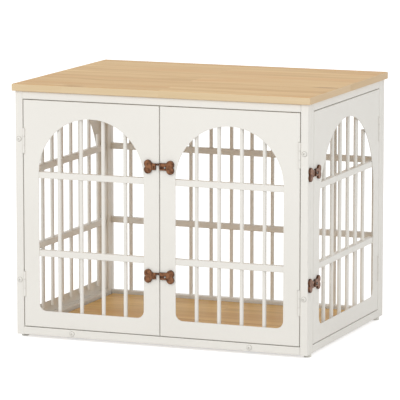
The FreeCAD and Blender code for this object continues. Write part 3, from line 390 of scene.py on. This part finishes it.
MATERIALS = {
    "white_paint": powder_coat(
        "white_powder_coat", colour=(0.850, 0.830, 0.782, 1), shade=(0.830, 0.809, 0.760, 1),
        # An edge tone paler than the paint: a painted highlight on sharp edges.
        edge=(0.88, 0.865, 0.82, 1)),
    "white_plastic": moulded_plastic(
        "white_plastic_glides", colour=(0.80, 0.785, 0.73, 1), shade=(0.75, 0.735, 0.68, 1)),
    "bolt_finish": powder_coat(
        "bolt_head_coat", colour=(0.87, 0.85, 0.80, 1), shade=(0.84, 0.82, 0.77, 1),
        # A dark edge tone and the darkening on turned faces: painted shade round the bolt head's
        # dome and in its socket.
        edge=(0.40, 0.385, 0.35, 1), peel=0.00003, roughness=(0.26, 0.36), painted_shade=0.6),
    "zinc_steel": plated_steel(
        "zinc_plated_steel", bright=(0.33, 0.325, 0.31, 1), dark=(0.17, 0.165, 0.155, 1)),
    "oak_top": oak_board(
        "oak_top_board", pale=(0.83, 0.58, 0.275, 1), deep=(0.55, 0.30, 0.092, 1),
        warm=(0.68, 0.37, 0.13, 1), knot=(0.33, 0.15, 0.045, 1),
        edge_pale=(0.76, 0.60, 0.39, 1), edge_deep=(0.65, 0.485, 0.275, 1), contrast=0.95),
    "oak_floor": oak_board(
        "oak_floor_board", pale=(0.93, 0.62, 0.235, 1), deep=(0.48, 0.265, 0.062, 1),
        warm=(0.64, 0.34, 0.10, 1), knot=(0.25, 0.115, 0.03, 1),
        edge_pale=(0.72, 0.50, 0.24, 1), edge_deep=(0.58, 0.36, 0.14, 1), contrast=1.0),
    "antique_copper": antique_copper("antique_copper_front", "Y", FRONT_LATCH_FACE, **COPPER),
}
SIDE_COPPER = antique_copper("antique_copper_side", "X", SIDE_LATCH_FACE, **COPPER)

for entry in frame["record"]["subparts"]:
    node = frame["nodes"][entry["node"]]
    finish = MATERIALS[entry["material_slot"]]
    if entry["material_slot"] == "antique_copper" and entry["node"].startswith("side"):
        finish = SIDE_COPPER
    node.data.materials.clear()
    node.data.materials.append(finish)


# ------------------------------------------------------------------------ welds
# A wall is first laid out with its outer face at Y = 0, its width along X and Y going inwards.
RAIL_HEIGHTS = (0.220, 0.420)
RAIL_HALF = 0.008
BAR_RADIUS = 0.005
BAR_DEPTH = 0.0095

# The section of a ring of weld: its steps out from the bar and up from the rail.
RING_SECTION = ((-0.0003, -0.0002), (0.0014, -0.0002), (0.0011, 0.0004), (0.0005, 0.0009),
                (-0.0003, 0.0014))
RING_SIDES = 14

BEAD_RADIUS = 0.0013
BEAD_SIDES = 8
BEAD_INSET = 0.0005
RIPPLE_LENGTH = 0.0013
RIPPLE_RISE = 0.07
PINCHED_END = 0.55

# A bead at a rail's end: the depths it starts and stops at, and its run along the rail. The rails
# of arched walls lie on the inner face of a sheet, and the grille's rails meet the posts.
ON_SHEET = {"near": 0.0015, "far": 0.0015, "run": 0.009}
ON_POST = {"near": 0.0025, "far": 0.0165, "run": 0.0}

# Each wall: its place and turn, its number of bars and their step, its rails' half length.
WALLS = {
    "front_left_door": {"at": (-0.186, -0.293), "turn": 0, "bars": 4, "step": 0.060,
                        "rail": 0.155, "bead": ON_SHEET},
    "front_right_door": {"at": (0.186, -0.293), "turn": 0, "bars": 4, "step": 0.060,
                         "rail": 0.155, "bead": ON_SHEET},
    "side_door": {"at": (0.393, 0.0), "turn": 90, "bars": 6, "step": 0.060,
                  "rail": 0.221, "bead": ON_SHEET},
    "left_side": {"at": (-0.393, 0.0), "turn": -90, "bars": 8, "step": 0.060,
                  "rail": 0.245, "bead": ON_SHEET},
    "back": {"at": (0.0, 0.293), "turn": 180, "bars": 12, "step": 0.058,
             "rail": 0.373, "bead": ON_POST},
}


def new_piece(name, shape, material):
    """An object at the origin, with a bmesh as its mesh and one material."""
    mesh = bpy.data.meshes.new(name)
    shape.to_mesh(mesh)
    shape.free()
    mesh.materials.append(material)
    piece = bpy.data.objects.new(name, mesh)
    bpy.context.scene.collection.objects.link(piece)
    return piece


def weld_ring(shape, x, z, way):
    """A fillet of weld round an upright bar, on top of a face at height z or under it."""
    points = [shape.verts.new((x + BAR_RADIUS + out, BAR_DEPTH, z + way * up))
              for out, up in RING_SECTION]
    edges = [shape.edges.new(pair) for pair in zip(points, points[1:] + points[:1])]
    bmesh.ops.spin(shape, geom=points + edges, cent=(x, BAR_DEPTH, 0), axis=(0, 0, 1),
                   dvec=(0, 0, 0), angle=2 * math.pi, steps=RING_SIDES, use_merge=True,
                   use_normal_flip=False, use_duplicate=False)


def rippled_rod(length):
    """A short weld bead along Z, rippled, with pinched ends."""
    steps = round(length / RIPPLE_LENGTH)
    bead = bmesh.new()
    bmesh.ops.create_cone(bead, cap_ends=True, segments=BEAD_SIDES, radius1=BEAD_RADIUS,
                          radius2=BEAD_RADIUS, depth=length)
    for index in range(1, steps):
        bmesh.ops.bisect_plane(bead, geom=bead.verts[:] + bead.edges[:] + bead.faces[:],
                               dist=1e-7, plane_co=(0, 0, (index / steps - 0.5) * length),
                               plane_no=(0, 0, 1))
    for vert in bead.verts:
        ring = round((vert.co.z / length + 0.5) * steps)
        size = PINCHED_END if ring in (0, steps) else 1.0 + RIPPLE_RISE * (-1) ** ring
        vert.co.x *= size
        vert.co.y *= size
    mesh = bpy.data.meshes.new("weld_bead")
    bead.to_mesh(mesh)
    bead.free()
    return mesh


def weld_bead(shape, pattern, start, end):
    """A bead laid from one point to another."""
    before = len(shape.verts)
    shape.from_mesh(pattern)
    shape.verts.ensure_lookup_table()
    start, end = Vector(start), Vector(end)
    turn = (end - start).to_track_quat("Z", "Y").to_matrix().to_4x4()
    bmesh.ops.transform(shape, matrix=Matrix.Translation((start + end) / 2) @ turn,
                        verts=shape.verts[before:])


def wall_welds(name, body):
    """The welds of a wall: round each bar at its rails, and along the ends of the rails."""
    wall = WALLS[name]
    shape = bmesh.new()
    for index in range(wall["bars"]):
        x = (index - (wall["bars"] - 1) / 2) * wall["step"]
        for height in RAIL_HEIGHTS:
            weld_ring(shape, x, height + RAIL_HALF, 1)
            weld_ring(shape, x, height - RAIL_HALF, -1)
    near, far, run = (wall["bead"][key] for key in ("near", "far", "run"))
    pattern = rippled_rod(far - near + run)
    for height in RAIL_HEIGHTS:
        for side in (-1, 1):
            outer = side * (wall["rail"] - BEAD_INSET)
            for z in (height - RAIL_HALF, height + RAIL_HALF):
                weld_bead(shape, pattern, (outer, near, z), (outer - side * run, far, z))
    bpy.data.meshes.remove(pattern)
    bmesh.ops.recalc_face_normals(shape, faces=shape.faces)
    for face in shape.faces:
        face.smooth = True
    turn = Matrix.Rotation(math.radians(wall["turn"]), 4, "Z")
    bmesh.ops.transform(shape, matrix=Matrix.Translation((*wall["at"], 0)) @ turn,
                        verts=shape.verts)
    piece = new_piece(f"{name}_welds", shape, MATERIALS["white_paint"])
    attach(piece, body)


wall_welds("front_left_door", "front_left_door")
wall_welds("front_right_door", "front_right_door")
wall_welds("side_door", "side_door")
wall_welds("left_side", "cabinet")
wall_welds("back", "cabinet")


# ------------------------------------------------------------------------ stage
WHITE = (1, 1, 1, 1)
FLOOR_HALF_WIDTH = 30.0
FLOOR_GLOW = 0.60
SKY_STRENGTH = 0.71
LAMP_AIM = (0, 0, 0.35)
LAMP_SIZE = 2.5


def split_by_ray(tree, plain, seen, output):
    """Shows one shader to the camera, in gloss and through glass, and another to other rays."""
    path = add_node(tree, "LightPath").outputs
    chosen = calculate(tree, "MAXIMUM", path["Is Camera Ray"], path["Is Glossy Ray"])
    chosen = calculate(tree, "MAXIMUM", chosen, path["Is Transmission Ray"])
    mix = add_node(tree, "MixShader")
    feed_in_turn(tree, mix.inputs, (chosen, plain, seen))
    add_node(tree, output, Surface=mix.outputs[0])


def studio_floor():
    """A plain pale floor that shows the object's soft shadow and ends in white."""
    material = bpy.data.materials.new("studio_floor")
    material.use_nodes = True
    tree = material.node_tree
    tree.nodes.clear()
    paper = add_node(tree, "BsdfDiffuse", Color=(0.86, 0.86, 0.86, 1)).outputs[0]
    glow = add_node(tree, "Emission", Color=WHITE, Strength=FLOOR_GLOW).outputs[0]
    lit = add_node(tree, "AddShader")
    feed_in_turn(tree, lit.inputs, (paper, glow))
    split_by_ray(tree, paper, lit.outputs[0], "OutputMaterial")
    shape = bmesh.new()
    bmesh.ops.create_grid(shape, x_segments=1, y_segments=1, size=FLOOR_HALF_WIDTH)
    floor = new_piece("studio_floor", shape, material)


def studio_sky():
    """Even daylight from all round, seen as plain white."""
    world = bpy.data.worlds.new("studio_sky")
    bpy.context.scene.world = world
    world.use_nodes = True
    tree = world.node_tree
    tree.nodes.clear()
    light = add_node(tree, "Background", Color=(1.0, 0.995, 0.985, 1), Strength=SKY_STRENGTH)
    white = add_node(tree, "Background", Color=WHITE, Strength=1.0)
    split_by_ray(tree, light.outputs[0], white.outputs[0], "OutputWorld")


def soft_lamp(name, place, power):
    """A square lamp turned to the middle of the cabinet."""
    lamp = bpy.data.lights.new(name, "AREA")
    lamp.shape = "SQUARE"
    lamp.size = LAMP_SIZE
    lamp.energy = power
    item = bpy.data.objects.new(name, lamp)
    item.location = place
    way = Vector(LAMP_AIM) - Vector(place)
    item.rotation_euler = way.to_track_quat("-Z", "Y").to_euler()
    bpy.context.scene.collection.objects.link(item)


def photo_camera():
    """The camera at the photograph's place, from a solve on the cabinet's corners."""
    data = bpy.data.cameras.new("photo_camera")
    data.sensor_width = 36.0
    data.lens = 297.67
    data.clip_start = 0.1
    data.clip_end = 100.0
    camera = bpy.data.objects.new("photo_camera", data)
    camera.location = (3.0865, -7.8281, 1.6268)
    camera.rotation_euler = Euler((math.radians(81.260), 0.0, math.radians(21.564)))
    bpy.context.scene.collection.objects.link(camera)
    bpy.context.scene.camera = camera


studio_floor()
studio_sky()
soft_lamp("key_lamp", (-1.4, -4.4, 3.2), power=74)
soft_lamp("fill_lamp", (4.0, -2.0, 2.2), power=27)
photo_camera()
bpy.context.scene.view_settings.view_transform = "Standard"
